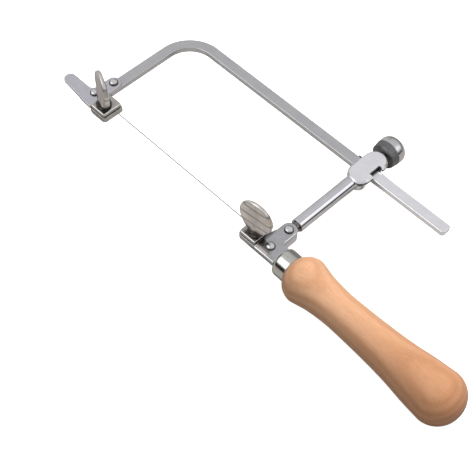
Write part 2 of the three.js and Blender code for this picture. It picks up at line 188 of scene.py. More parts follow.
def map_range(nodes, value, low, high, bottom, top, smooth=False):
    node = nodes.new("ShaderNodeMapRange")
    if smooth:
        node.interpolation_type = "SMOOTHSTEP"
    for socket, number in zip(("From Min", "From Max", "To Min", "To Max"), (low, high, bottom, top)):
        node.inputs[socket].default_value = number
    link(nodes, value, node.inputs["Value"])
    return node.outputs["Result"]


def mix_shader(nodes, factor, a, b):
    node = nodes.new("ShaderNodeMixShader")
    for source, socket in zip((factor, a.outputs[0], b.outputs[0]), node.inputs):
        link(nodes, source, socket)
    return node


# ---- Camera, light and floor ----

def make_camera():
    """The photo's view, found from the square corner, the rod, the blade and the handle."""
    azimuth, elevation, roll = (math.radians(CAMERA[angle]) for angle in ("azimuth", "elevation", "roll"))
    back = Vector((
        math.sin(azimuth) * math.cos(elevation),
        -math.cos(azimuth) * math.cos(elevation),
        math.sin(elevation),
    ))
    data = bpy.data.cameras.new("camera")
    data.lens = CAMERA["focal_length"]
    data.sensor_width = 36
    camera = bpy.data.objects.new("camera", data)
    camera.location = CAMERA_AIM + back * CAMERA["distance"]
    level = (-back).to_track_quat("-Z", "Y").to_matrix()
    camera.rotation_euler = (level @ Matrix.Rotation(roll, 3, "Z")).to_euler()
    bpy.context.scene.collection.objects.link(camera)
    bpy.context.scene.camera = camera


def make_world():
    """A studio sky for the metal to mirror: darker towards the horizon, with broad soft boxes in a few
    directions. Matt surfaces get a plain even light from it."""
    world = bpy.data.worlds.new("studio")
    bpy.context.scene.world = world
    world.use_nodes = True
    nodes = world.node_tree.nodes
    nodes.clear()
    direction = nodes.new("ShaderNodeTexCoord").outputs["Generated"]

    def soft_box(towards, inner, outer, strength):
        dot = nodes.new("ShaderNodeVectorMath")
        dot.operation = "DOT_PRODUCT"
        link(nodes, direction, dot.inputs[0])
        dot.inputs[1].default_value = Vector(towards).normalized()
        edge, core = (math.cos(math.radians(angle)) for angle in (outer, inner))
        return map_range(nodes, dot.outputs["Value"], edge, core, 0, strength, smooth=True)

    split = nodes.new("ShaderNodeSeparateXYZ")
    link(nodes, direction, split.inputs[0])
    light = map_range(nodes, split.outputs["Z"], *SKY, smooth=True)
    for box in SOFT_BOXES:
        light = maths(nodes, "ADD", light, soft_box(*box))
    for towards, inner, outer, share in DARK_FLAGS:
        kept = maths(nodes, "ADD", soft_box(towards, inner, outer, -share), 1)
        light = maths(nodes, "MULTIPLY", light, kept)
    mirrored = nodes.new("ShaderNodeBackground")
    mirrored.inputs["Color"].default_value = (0.975, 0.975, 1.0, 1)
    link(nodes, light, mirrored.inputs["Strength"])
    plain = nodes.new("ShaderNodeBackground")
    plain.inputs["Color"].default_value = (1.0, 0.98, 0.95, 1)
    plain.inputs["Strength"].default_value = AMBIENT
    path = nodes.new("ShaderNodeLightPath")
    mix = mix_shader(nodes, path.outputs["Is Diffuse Ray"], mirrored, plain)
    output = nodes.new("ShaderNodeOutputWorld")
    link(nodes, mix.outputs[0], output.inputs["Surface"])


def make_floor():
    """A pale floor. The camera sees it almost white, the metal mirrors a greyer one, and little light
    bounces from it on to the underside of the tool."""
    half = 3.0
    gap = 0.0002
    mesh = bpy.data.meshes.new("floor")
    corners = [(-half, -half, 0), (half, -half, 0), (half, half, 0), (-half, half, 0)]
    mesh.from_pydata(corners, [], [(0, 1, 2, 3)])
    floor = bpy.data.objects.new("floor", mesh)
    floor.location.z = CAD_BOX[0].z - gap
    bpy.context.scene.collection.objects.link(floor)
    material = bpy.data.materials.new("floor")
    material.use_nodes = True
    nodes = material.node_tree.nodes
    nodes.clear()

    def matt(*colour):
        shader = nodes.new("ShaderNodeBsdfDiffuse")
        shader.inputs["Color"].default_value = (*colour, 1)
        return shader

    glow = nodes.new("ShaderNodeEmission")
    glow.inputs["Strength"].default_value = 0.85
    seen = nodes.new("ShaderNodeAddShader")
    link(nodes, matt(0.8, 0.8, 0.8).outputs[0], seen.inputs[0])
    link(nodes, glow.outputs[0], seen.inputs[1])
    path = nodes.new("ShaderNodeLightPath")
    bouncing = matt(0.12, 0.12, 0.12)
    mirrored = mix_shader(nodes, path.outputs["Is Glossy Ray"], bouncing, matt(0.46, 0.455, 0.45))
    surface = mix_shader(nodes, path.outputs["Is Camera Ray"], mirrored, seen)
    output = nodes.new("ShaderNodeOutputMaterial")
    link(nodes, surface.outputs[0], output.inputs["Surface"])
    mesh.materials.append(material)


def make_key_light():
    """One large soft light above the spine side, for the roundness of the handle; metal mirrors the sky."""
    data = bpy.data.lights.new("key", "AREA")
    data.size = KEY_LIGHT["size"]
    data.energy = KEY_LIGHT["watts"]
    data.color = (1.0, 0.97, 0.93)
    key = bpy.data.objects.new("key", data)
    key.location = KEY_LIGHT["place"]
    key.rotation_euler = (Vector(KEY_LIGHT["aim"]) - key.location).to_track_quat("-Z", "Y").to_euler()
    key.visible_glossy = False
    bpy.context.scene.collection.objects.link(key)


# ---- Materials ----

def principled(name):
    material = bpy.data.materials.new(name)
    material.use_nodes = True
    nodes = material.node_tree.nodes
    return material, nodes, nodes["Principled BSDF"]


def noise(nodes, scale, detail, stretch=EVEN):
    """Noise over the object's own coordinates in metres, stretched by dividing along each axis."""
    place = nodes.new("ShaderNodeTexCoord").outputs["Object"]
    mapping = nodes.new("ShaderNodeMapping")
    mapping.inputs["Scale"].default_value = [1 / s for s in stretch]
    link(nodes, place, mapping.inputs["Vector"])
    texture = nodes.new("ShaderNodeTexNoise")
    texture.inputs["Scale"].default_value = scale
    texture.inputs["Detail"].default_value = detail
    texture.inputs["Roughness"].default_value = 0.55
    link(nodes, mapping.outputs["Vector"], texture.inputs["Vector"])
    return texture.outputs["Fac"]


def colour_ramp(nodes, value, stops):
    node = nodes.new("ShaderNodeValToRGB")
    elements = node.color_ramp.elements
    while len(elements) < len(stops):
        elements.new(0.5)
    for element, (place, colour) in zip(elements, stops):
        element.position = place
        element.color = (*colour, 1)
    link(nodes, value, node.inputs["Fac"])
    return node.outputs["Color"]


def mix_colour(nodes, blend, factor, a, b):
    node = nodes.new("ShaderNodeMix")
    node.data_type = "RGBA"
    node.blend_type = blend
    for socket, value in (("Factor", factor), ("A", a), ("B", b)):
        feed(nodes, value, node.inputs[socket])
    return node.outputs["Result"]


def bump(nodes, shader, height, strength, distance):
    node = nodes.new("ShaderNodeBump")
    node.inputs["Strength"].default_value = strength
    node.inputs["Distance"].default_value = distance
    link(nodes, height, node.inputs["Height"])
    link(nodes, node.outputs["Normal"], shader.inputs["Normal"])


def metal(name, colour, roughness, streak, streak_depth, cloud, spots=0.0, pits=0.0):
    """Plated metal: clouding, fine streaks from polishing along one axis, and small dull spots of wear."""
    material, nodes, shader = principled(name)
    shader.inputs["Metallic"].default_value = 1
    light = [min(1, c * (1 + cloud)) for c in colour]
    dark = [c * (1 - cloud) for c in colour]
    base = colour_ramp(nodes, noise(nodes, NOISE["cloud"], 5), [(0.35, dark), (0.65, light)])
    if spots:
        spot = map_range(nodes, noise(nodes, NOISE["spot"], 3), 0.62, 0.74, 0, spots)
        base = mix_colour(nodes, "MIX", spot, base, tuple(c * 0.55 for c in colour))
    link(nodes, base, shader.inputs["Base Color"])
    streaks = noise(nodes, NOISE["streak"], 3, streak)
    smoothest, roughest = roughness * 0.88, roughness * 1.14
    link(nodes, map_range(nodes, streaks, 0.3, 0.7, smoothest, roughest), shader.inputs["Roughness"])
    height = streaks
    if pits:
        height = mix_colour(nodes, "MULTIPLY", 1.0, streaks, noise(nodes, NOISE["pit"], 4))
    bump(nodes, shader, height, streak_depth + pits, 0.00002)
    return material


def coordinate(nodes, axis):
    """One of the object's own coordinates, in metres."""
    split = nodes.new("ShaderNodeSeparateXYZ")
    link(nodes, nodes.new("ShaderNodeTexCoord").outputs["Object"], split.inputs[0])
    return split.outputs[axis]


def place_along(axis, distance):
    """A design coordinate in mm, as the frame's coordinate in metres."""
    return at(distance, distance, distance)["XYZ".index(axis)]


def between(nodes, axis, low, high, soft):
    """1 between two design coordinates in mm, falling to 0 over a soft edge outside them."""
    place = coordinate(nodes, axis)
    start, end = place_along(axis, low), place_along(axis, high)
    rise = map_range(nodes, place, start - soft * MM, start, 0, 1)
    fall = map_range(nodes, place, end, end + soft * MM, 1, 0)
    return maths(nodes, "MULTIPLY", rise, fall)


def stripes(nodes, axis, first, pitch, half_width):
    """1 on the middle line of each of a row of equal stripes along an axis, falling to 0 at its edges."""
    start = place_along(axis, first)
    past = map_range(nodes, coordinate(nodes, axis), start - 1, start + 1, -1, 1)
    off = maths(nodes, "PINGPONG", past, pitch * MM / 2)
    return map_range(nodes, off, 0, half_width * MM, 1, 0)


def recoloured(material, blend, factor, colour):
    """Mixes a colour into the base colour that a material has so far."""
    nodes = material.node_tree.nodes
    base = nodes["Principled BSDF"].inputs["Base Color"]
    link(nodes, mix_colour(nodes, blend, factor, base.links[0].from_socket, colour), base)


def striped(material, colour, strength, *stripe):
    """Painted shade along a row of ridges."""
    nodes = material.node_tree.nodes
    cover = map_range(nodes, stripes(nodes, *stripe), 0, 1, 0, strength)
    recoloured(material, "MIX", cover, colour)


def painted_light_and_shade(material, colour, strength, *ranges, patchy=0.4, dull=0.0):
    """Painted light and shade: mixes a dark colour in as painted shade or a painted dark reflection, or a
    near-white one as a painted highlight along an edge, where all the (axis, low, high, soft) hold. patchy
    is the share of it that comes and goes, and dull is added to the roughness there."""
    nodes = material.node_tree.nodes
    mask = between(nodes, *ranges[0])
    for limits in ranges[1:]:
        mask = maths(nodes, "MULTIPLY", mask, between(nodes, *limits))
    patches = map_range(nodes, noise(nodes, NOISE["patch"], 4), 0.3, 0.6, strength * (1 - patchy), strength)
    recoloured(material, "MIX", maths(nodes, "MULTIPLY", mask, patches), colour)
    if dull:
        roughness = nodes["Principled BSDF"].inputs["Roughness"]
        extra = map_range(nodes, mask, 0, 1, 0, dull)
        link(nodes, maths(nodes, "ADD", roughness.links[0].from_socket, extra), roughness)


def painted_light_towards_end(material, start, end, gain):
    """Darkens the base colour before end along X, down to 1 / gain at start: painted light, so that
    the end looks brighter, as a painted reflection.
    """
    nodes = material.node_tree.nodes
    from_x, to_x = place_along("X", start), place_along("X", end)
    level = map_range(nodes, coordinate(nodes, "X"), from_x, to_x, 1 / gain, 1)
    grey = colour_ramp(nodes, level, [(0, (0, 0, 0)), (1, (1, 1, 1))])
    recoloured(material, "MULTIPLY", 1.0, grey)


def beech_wood():
    """Pale beech under a thin clear coat: rings cut lengthwise, short dark flecks, fine fibres, a slow
    colour drift, and a darker butt."""
    material, nodes, shader = principled("beech")
    place = nodes.new("ShaderNodeTexCoord").outputs["Object"]
    rings = nodes.new("ShaderNodeTexWave")
    rings.wave_type = "RINGS"
    rings.rings_direction = "X"
    rings.inputs["Scale"].default_value = 95
    rings.inputs["Distortion"].default_value = 3.2
    rings.inputs["Detail"].default_value = 2.5
    rings.inputs["Detail Scale"].default_value = 0.35
    mapping = nodes.new("ShaderNodeMapping")
    mapping.inputs["Location"].default_value = (0, 0.031, 0.022)
    mapping.inputs["Rotation"].default_value = (0, 0.05, 0.09)
    mapping.inputs["Scale"].default_value = (0.25, 1, 1)
    link(nodes, place, mapping.inputs["Vector"])
    link(nodes, mapping.outputs["Vector"], rings.inputs["Vector"])
    grain = colour_ramp(nodes, rings.outputs["Fac"], [
        (0.0, (0.745, 0.413, 0.24)), (0.45, (0.79, 0.452, 0.268)), (1.0, (0.84, 0.495, 0.305)),
    ])
    drift = colour_ramp(nodes, noise(nodes, NOISE["drift"], 3, (3.5, 1, 1)), [
        (0.3, (0.90, 0.86, 0.82)), (0.7, (1.0, 1.0, 1.0)),
    ])
    base = mix_colour(nodes, "MULTIPLY", 1.0, grain, drift)
    waist, end = place_along("X", 45), place_along("X", HANDLE["end"])
    darker_butt = map_range(nodes, coordinate(nodes, "X"), waist, end, 0, 1)
    base = mix_colour(nodes, "MULTIPLY", darker_butt, base, (0.80, 0.70, 0.62))
    fleck = map_range(nodes, noise(nodes, NOISE["fleck"], 2, (7, 1, 1)), 0.60, 0.72, 0, 0.30)
    base = mix_colour(nodes, "MIX", fleck, base, (0.42, 0.21, 0.11))
    fibre = noise(nodes, NOISE["fibre"], 3, (14, 1, 1))
    streaks = colour_ramp(nodes, fibre, [(0.35, (0.90, 0.87, 0.84)), (0.6, (1, 1, 1))])
    base = mix_colour(nodes, "MULTIPLY", 1.0, base, streaks)
    link(nodes, base, shader.inputs["Base Color"])
    link(nodes, map_range(nodes, fibre, 0.3, 0.7, 0.42, 0.55), shader.inputs["Roughness"])
    shader.inputs["Specular IOR Level"].default_value = 0.4
    shader.inputs["Coat Weight"].default_value = 0.12
    shader.inputs["Coat Roughness"].default_value = 0.25
    bump(nodes, shader, fibre, 0.12, 0.00003)
    return material


# ---- Outlines and solids ----

def arc(x, y, radius, start, end, steps):
    """Points round a circle, from angle start to angle end in degrees."""
    angles = [math.radians(start + (end - start) * i / steps) for i in range(steps + 1)]
    return [(x + radius * math.cos(a), y + radius * math.sin(a)) for a in angles]


def curve(start, control, end, steps):
    """Points along a quadratic curve."""
    points = []
    for i in range(steps + 1):
        t = i / steps
        points.append(tuple(
            (1 - t) ** 2 * a + 2 * t * (1 - t) * b + t ** 2 * c for a, b, c in zip(start, control, end)
        ))
    return points


def rounded_rectangle(left, low, right, high, radius):
    corners = [(right, low, -1, 1), (right, high, -1, -1), (left, high, 1, -1), (left, low, 1, 1)]
    outline = []
    for turn, (x, y, inward_x, inward_y) in enumerate(corners):
        start = 90 * (turn - 1)
        outline += arc(x + inward_x * radius, y + inward_y * radius, radius, start, start + 90, 8)
    return outline


def cleaned(outline):
    """The outline without repeated points, anticlockwise."""
    apart = 1e-3
    points = []
    for point in outline:
        if not points or math.dist(point, points[-1]) > apart:
            points.append(point)
    if math.dist(points[0], points[-1]) < apart:
        points.pop()
    area = sum(a[0] * b[1] - b[0] * a[1] for a, b in zip(points, points[1:] + points[:1]))
    return points if area > 0 else points[::-1]


def inset(points, distance):
    """Each point of an anticlockwise outline moved inwards by a distance, held back at sharp corners."""
    sharpest = 0.4
    moved = []
    for before, here, after in zip([points[-1]] + points, points, points[1:] + points[:1]):
        first = (Vector(here) - Vector(before)).normalized()
        second = (Vector(after) - Vector(here)).normalized()
        inward = Vector((-first.y - second.y, first.x + second.x)).normalized()
        reach = distance / max(sharpest, inward.dot(Vector((-first.y, first.x))))
        moved.append(tuple(Vector(here) + inward * reach))
    return moved


def new_piece(name, points, faces):
    """A mesh object from design points in millimetres."""
    mesh = bpy.data.meshes.new(name)
    mesh.from_pydata([at(*p) for p in points], [], faces)
    mesh.update()
    piece = bpy.data.objects.new(name, mesh)
    bpy.context.scene.collection.objects.link(piece)
    return piece


def band(a, b, count):
    """Four-sided faces between two rings of count points, whose first points are a and b."""
    return [(a + i, a + (i + 1) % count, b + (i + 1) % count, b + i) for i in range(count)]


def prism(name, outline, low, high, bottom_bevel, top_bevel, steps=3):
    """A flat shape given thickness along Z, with rounded edges; one step makes a plain chamfer."""
    points = cleaned(outline)
    turns = [math.pi / 2 * i / steps for i in range(steps + 1)]
    rounding = [(1 - math.cos(turn), 1 - math.sin(turn)) for turn in turns]
    rings = [(0, low)]
    if bottom_bevel:
        rings = [(bottom_bevel * down, low + bottom_bevel * across) for across, down in rounding]
    if top_bevel:
        rings += [(top_bevel * across, high - top_bevel * down) for across, down in rounding]
    else:
        rings.append((0, high))
    vertices = []
    for distance, z in rings:
        vertices += [(x, y, z) for x, y in (inset(points, distance) if distance else points)]
    count = len(points)
    faces = [tuple(reversed(range(count)))]
    for ring in range(len(rings) - 1):
        faces += band(ring * count, (ring + 1) * count, count)
    faces.append(tuple(range((len(rings) - 1) * count, len(rings) * count)))
    return new_piece(name, vertices, faces)


def round_off(centre_r, centre_d, half_r, half_d, start, end, steps):
    """Profile points round part of an ellipse, from angle start to angle end in degrees."""
    points = []
    for i in range(steps + 1):
        angle = math.radians(start + (end - start) * i / steps)
        points.append((max(0.0, centre_r + half_r * math.cos(angle)), centre_d + half_d * math.sin(angle)))
    return points


ALONG = {
    "x": lambda u, v, d: (d, u, v),
    "y": lambda u, v, d: (v, d, u),
    "z": lambda u, v, d: (u, v, d),
}


def skinned(name, axis, start, rings, end, centre=(0, 0, 0), tilt=0.0):
    """A closed skin over rings of (u, v, distance) points round an axis through centre, closed to a point
    at the distances start and end. tilt turns the axis about Z through centre, in degrees."""
    count = len(rings[0])
    points = [(0, 0, start)] + [point for ring in rings for point in ring] + [(0, 0, end)]
    last = len(points) - 1
    faces = [(0, 1 + (i + 1) % count, 1 + i) for i in range(count)]
    for ring in range(len(rings) - 1):
        faces += band(1 + ring * count, 1 + (ring + 1) * count, count)
    top = last - count
    faces += [(top + i, top + (i + 1) % count, last) for i in range(count)]
    turn = Matrix.Rotation(math.radians(tilt), 3, "Z")
    vertices = [tuple(turn @ Vector(ALONG[axis](*point)) + Vector(centre)) for point in points]
    return new_piece(name, vertices, faces)


def turned(name, profile, axis, steps, centre=(0, 0, 0), tilt=0.0):
    """A shape turned about an axis through centre. The profile is a list of (radius, distance), and its
    ends lie on the axis."""
    angles = [2 * math.pi * i / steps for i in range(steps)]
    rings = [
        [(radius * math.cos(angle), radius * math.sin(angle), distance) for angle in angles]
        for radius, distance in profile[1:-1]
    ]
    return skinned(name, axis, profile[0][1], rings, profile[-1][1], centre, tilt)


def cylinder(radius, low, high, axis, centre=(0, 0, 0)):
    return turned("cutter", [(0, low), (radius, low), (radius, high), (0, high)], axis, 64, centre)


def box_piece(low, high):
    corners = [(x, y, z) for z in (low[2], high[2]) for y in (low[1], high[1]) for x in (low[0], high[0])]
    faces = [(0, 2, 3, 1), (4, 5, 7, 6), (0, 1, 5, 4), (2, 6, 7, 3), (0, 4, 6, 2), (1, 3, 7, 5)]
    return new_piece("cutter", corners, faces)


def carve(piece, operation, *tools):
    """Adds or removes tool solids, which are used up."""
    for tool in tools:
        change = piece.modifiers.new("change", "BOOLEAN")
        change.operation = operation
        change.solver = "EXACT"
        change.object = tool
        bpy.context.view_layer.update()
        graph = bpy.context.evaluated_depsgraph_get()
        made = bpy.data.meshes.new_from_object(piece.evaluated_get(graph))
        piece.modifiers.clear()
        old = piece.data
        piece.data = made
        made.name = piece.name
        bpy.data.meshes.remove(old)
        bpy.data.objects.remove(tool)


def hole(node, radius):
    """Cutter for a hole down the middle of a CAD node."""
    centre = middle(node)
    return cylinder(radius, -20, 20, "z", (centre.x, centre.y, 0))


def rivet_holes(piece, *nodes):
    carve(piece, "DIFFERENCE", *[hole(node, RIVET["shank"] + RIVET["play"]) for node in nodes])


def screw_hole(piece, node):
    carve(piece, "DIFFERENCE", hole(node, WING["shank"] + WING["play"]))


def mended(mesh):
    """Merges doubled points and removes the slivers that the cuts leave."""
    apart = 0.002 * MM
    work = bmesh.new()
    work.from_mesh(mesh)
    bmesh.ops.remove_doubles(work, verts=work.verts, dist=apart)
    bmesh.ops.dissolve_degenerate(work, edges=work.edges, dist=apart)
    work.to_mesh(mesh)
    work.free()


def finished(piece, node, body, material, sharp=34):
    """Smooth shading with sharp corners, the material, and the piece's place in the frame."""
    mesh = piece.data
    mended(mesh)
    mesh.polygons.foreach_set("use_smooth", [True] * len(mesh.polygons))
    mesh.set_sharp_from_angle(angle=math.radians(sharp))
    normals = piece.modifiers.new("normals", "WEIGHTED_NORMAL")
    normals.keep_sharp = True
    mesh.materials.clear()
    mesh.materials.append(material)
    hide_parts(node)
    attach(piece, body)


# ---- Bow ----

def make_bow(material):
    """Flat bar: the front arm, one rounded corner, and the long spine."""
    low, high = span("frame_bow")
    corner, width, end = BAR["corner"], BAR["width"], BAR["end_corner"]
    x, y = low.x + corner, high.y - corner
    outline = (
        arc(x, y, corner, 180, 90, 48)
        + arc(high.x - end, high.y - end, end, 90, 0, 10)
        + arc(high.x - end, high.y - width + end, end, 0, -90, 10)
        + arc(x, y, corner - width, 90, 180, 48)
        + arc(low.x + width - end, low.y + end, end, 0, -90, 10)
        + arc(low.x + end, low.y + end, end, -90, -180, 10)
    )
    bow = prism("bow_bar", outline, low.z, high.z, BAR["bevel"], BAR["bevel"], 4)
    rivet_holes(bow, "front_arm_rivet")
    finished(bow, "frame_bow", "bow", material)


# ---- Plates and fixed jaws ----

def blade_slot(from_x, to_x, plate_low):
    """Cutter for the slot under a plate that the end of the blade lies in."""
    low_y, high_y = BLADE_Y - SLOT["half_width"], BLADE_Y + SLOT["half_width"]
    return box_piece((from_x, low_y, plate_low - 1), (to_x, high_y, plate_low + SLOT["depth"]))


def make_front_plate(material):
    """Plate over the end of the arm: a lobe round the arm's rivet, a square foot, and the long tongue."""
    low, high = span("front_plate")
    arm = middle("front_arm_rivet")
    lobe, fillet, tip_radius = FRONT_PLATE["lobe"], FRONT_PLATE["fillet"], FRONT_PLATE["tip_radius"]
    foot_y, tip_y = FRONT_PLATE["foot_y"], FRONT_PLATE["tip_y"]
    left, right = arm.x - lobe, high.x
    tip_end = 277.2
    outline = (
        arc(right - 0.5, 3.5, 0.5, 90, 0, 6)
        + curve((right, foot_y + 0.7), (right, foot_y), (right - 1, foot_y), 6)
        + curve((-134.6, -8.5), (-136.4, -8.3), (-138.0, -7.95), 8)
        + arc(low.x + tip_radius, tip_y, tip_radius, tip_end, 90, 30)
        + arc(left - fillet, tip_y + tip_radius + fillet, fillet, -90, 0, 14)
        + arc(arm.x, arm.y, lobe, 180, 0, 30)
        + curve((arm.x + lobe, 5), (arm.x + lobe, 4), (arm.x + lobe + 1, 4), 8)
    )
    plate = prism("front_tongue_plate", outline, low.z, high.z, *FRONT_PLATE["bevels"], 4)
    rivet_holes(plate, "front_arm_rivet", "front_tongue_rivet")
    blade_start = span("saw_blade")[0].x
    carve(plate, "DIFFERENCE", blade_slot(blade_start - SLOT["end"], right + 1, low.z))
    finished(plate, "front_plate", "bow", material)


def make_front_jaw(material):
    """Fixed jaw under the front clamp: square, with its lower left cut away."""
    low, high = span("front_jaw_base")
    left, right = low.x, high.x
    step_x, step_y = -131.4, -5.6
    corner, back_corner = 2.2, 1.2
    outline = (
        [(left + 1, step_y), (step_x, step_y)]
        + curve((step_x, step_y), (-129.2, low.y), (-126.4, low.y), 12)
        + arc(right - corner, low.y + corner, corner, -90, 0, 12)
        + arc(right - back_corner, high.y - back_corner, back_corner, 0, 90, 10)
        + curve((left + 1, high.y), (left, high.y), (left, high.y - 1), 6)
        + curve((left, step_y + 1), (left, step_y), (left + 1, step_y), 6)
    )
    jaw = prism("front_fixed_jaw", outline, low.z, high.z, *JAW_BEVELS)
    rivet_holes(jaw, "front_tongue_rivet")
    screw_hole(jaw, "front_wing_screw")
    finished(jaw, "front_jaw_base", "bow", material)


def make_rear_plate(material):
    """Plate over the rod's foot and the handle end: a lobe round the rod's rivet, and a straight foot."""
    low, high = span("rear_plate")
    lobe, x, corner = REAR_PLATE["lobe"], REAR_PLATE["lobe_x"], REAR_PLATE["corner"]
    left, right, side = low.x, high.x, x + lobe
    outline = (
        [(right, low.y + 0.1), (right, 2)]
        + curve((side + 1.2, 2.4), (side, 2.6), (side, 4), 8)
        + arc(x, high.y - lobe, lobe, 0, 180, 32)
        + curve((left + 0.9, 6.4), (left + 0.1, 4.6), (left + 0.08, 2.6), 6)
        + curve((left, low.y + corner), (left, low.y), (left + corner, low.y), 8)
    )
    plate = prism("rear_joint_plate", outline, low.z, high.z, *REAR_PLATE["bevels"], 4)
    rivet_holes(plate, "rear_rod_rivet", "rear_base_rivet")
    blade_end = span("saw_blade")[1].x
    carve(plate, "DIFFERENCE", blade_slot(left - 1, blade_end + SLOT["end"], low.z))
    finished(plate, "rear_plate", "grip", material)


def make_rear_jaw(material):
    """Fixed jaw under the rear clamp, which carries on as the tang in the handle."""
    low, high = span("rear_jaw_base")
    plate_end = span("rear_plate")[1].x
    left = low.x
    waist_x, waist_y = -5.4, 1.9
    corner, front_corner = 1.6, 2.4
    outline = (
        [(plate_end, low.y), (plate_end, waist_y)]
        + curve((waist_x + 0.4, waist_y), (waist_x, waist_y), (waist_x, waist_y + 0.4), 4)
        + arc(waist_x - 0.5, high.y - 0.5, 0.5, 0, 90, 6)
        + arc(left + corner, high.y - corner, corner, 90, 180, 10)
        + arc(left + front_corner, low.y + front_corner, front_corner, 180, 270, 12)
    )
    jaw = prism("rear_fixed_jaw", outline, low.z, high.z, *JAW_BEVELS)
    tang_low, tang_high = TANG["y"] - TANG["half"], TANG["y"] + TANG["half"]
    tang = box_piece((plate_end - 4, tang_low, low.z), (high.x, tang_high, high.z))
    carve(jaw, "UNION", tang)
    rivet_holes(jaw, "rear_base_rivet")
    screw_hole(jaw, "rear_wing_screw")
    finished(jaw, "rear_jaw_base", "grip", material)


def make_rivet(node, body, material):
    """Domed rivet with a faint flat on its crown and a peened tail."""
    low, high = span(node)
    centre = (low + high) / 2
    head = (high.x - low.x) / 2
    lip, height, tail, tail_height = RIVET["lip"], RIVET["head_height"], RIVET["tail"], RIVET["tail_height"]
    top = high.z - height
    bottom = low.z + tail_height
    profile = (
        [(0, low.z)]
        + round_off(0, bottom, tail, tail_height, -82, 0, 6)
        + [(RIVET["shank"], bottom), (RIVET["shank"], top), (head - lip, top)]
        + round_off(0, top + lip, head, height - lip, 0, 84, 14)
        + [(0, high.z)]
    )
    rivet = turned(node + "_dome", profile, "z", 64, (centre.x, centre.y, 0))
    finished(rivet, node, body, material)


# ---- Clamps ----

def make_pad(node, screw_node, body, material):
    """Loose square jaw of a clamp."""
    low, high = span(node)
    outline = rounded_rectangle(low.x, low.y, high.x, high.y, PAD["corner"])
    pad = prism(node + "_plate", outline, low.z, high.z, *PAD["bevels"])
    screw_hole(pad, screw_node)
    finished(pad, node, body, material)


def threaded(name, radius, low, high, pitch, depth, axis):
    """A right-hand screw thread: a fine grid round the axis whose radius follows a helix."""
    steps = 48
    rows = max(8, round((high - low) / pitch * 8))
    rings = []
    for row in range(rows + 1):
        distance = low + (high - low) * row / rows
        ring = []
        for i in range(steps):
            angle = 2 * math.pi * i / steps
            phase = ((distance - low) / pitch - i / steps) % 1
            r = radius - depth * abs(2 * phase - 1)
            ring.append((r * math.cos(angle), r * math.sin(angle), distance))
        rings.append(ring)
    return skinned(name, axis, low, rings, high)


def joined(name, *pieces):
    """One object from several, with every vertex kept."""
    vertices, faces = [], []
    for piece in pieces:
        start = len(vertices)
        vertices += [v.co.copy() for v in piece.data.vertices]
        faces += [tuple(start + i for i in p.vertices) for p in piece.data.polygons]
        bpy.data.objects.remove(piece)
    mesh = bpy.data.meshes.new(name)
    mesh.from_pydata(vertices, [], faces)
    mesh.update()
    result = bpy.data.objects.new(name, mesh)
    bpy.context.scene.collection.objects.link(result)
    return result


def make_paddle():
    """Round paddle of a clamp screw about its own middle: thick and flared at its root, thin at its top,
    with sharp ridges across it for the fingers and a slight swelling on each side of them."""
    size, root, rim = WING["disc"], WING["root"], WING["rim"]
    half = root / 2
    flat = size - rim
    rings = [flat * i / 30 for i in range(30)]
    profile = (
        [(r, -half) for r in rings]
        + round_off(flat, 0, rim, half, -90, 90, 12)
        + [(r, half) for r in reversed(rings)]
    )
    disc = turned("disc", profile, "y", 120)
    pitch = RIDGE["pitch"]
    for vertex in disc.data.vertices:
        x, y, z = (vertex.co - ORIGIN) / MM
        share = (z + size) / (2 * size)
        thinning = 1 + (WING["tip"] / root - 1) * share
        outwards = min(1.0, abs(y) / half)
        past = (z - RIDGE["first"]) % pitch
        off = min(past, pitch - past)
        ridge = max(0.0, 1 - off / RIDGE["half"]) * RIDGE["height"]
        ridge += RIDGE["swell"] * (0.5 - 0.5 * math.cos(4 * math.pi * off / pitch))
        ridge *= max(0.0, min(1.0, flat - 0.2 - math.hypot(x, z))) * outwards
        flare = max(0.0, 1 - (z + size) / WING["flare_height"]) ** 2 * WING["flare"] * outwards
        standing_out = abs(flare - ridge)
        vertex.co = at(x, y * thinning + math.copysign(standing_out, y), z)
    return disc


def make_wing_screw(node, pad_node, body, turn, material):
    """Clamp screw: threaded shank, hub with a domed neck, and a round paddle."""
    low, _ = span(node)
    centre = middle(node)
    seat = span(pad_node)[1].z + WING["seat_gap"]
    shank_radius, hub_radius = WING["shank"], WING["hub"]
    hub_profile = [
        (0, seat - 0.4), (shank_radius, seat - 0.4), (shank_radius, seat),
        (hub_radius - 0.4, seat), (hub_radius - 0.1, seat + 0.12), (hub_radius, seat + 0.4),
        (hub_radius, seat + 1.2), (hub_radius - 0.25, seat + 1.55), (hub_radius - 0.8, seat + 2.8),
    ]
    hub_profile += round_off(0, seat + WING["neck_foot"], WING["neck"], WING["neck_height"], 8, 84, 12)
    hub_profile.append((0, seat + WING["neck_top"]))
    hub = turned("hub", hub_profile, "z", 64)
    shank = threaded("shank", shank_radius, low.z, seat - 0.3, WING["pitch"], WING["thread_depth"], "z")
    disc = make_paddle()
    disc.data.transform(Matrix.Translation((0, 0, (seat + WING["centre"]) * MM)))
    wing = joined(node + "_paddle", hub, shank, disc)
    spin = Matrix.Rotation(math.radians(turn), 4, "Z")
    move = Matrix.Translation(at(centre.x, centre.y, 0)) @ spin @ Matrix.Translation(-ORIGIN)
    wing.data.transform(move)
    finished(wing, node, body, material, 40)


# ---- Slide block and its lock ----

def pill(x, radius):
    return (
        arc(x, BLOCK["low_lobe"], radius, 180, 360, 40)
        + arc(x, BLOCK["high_lobe"], radius, 0, 180, 40)
    )


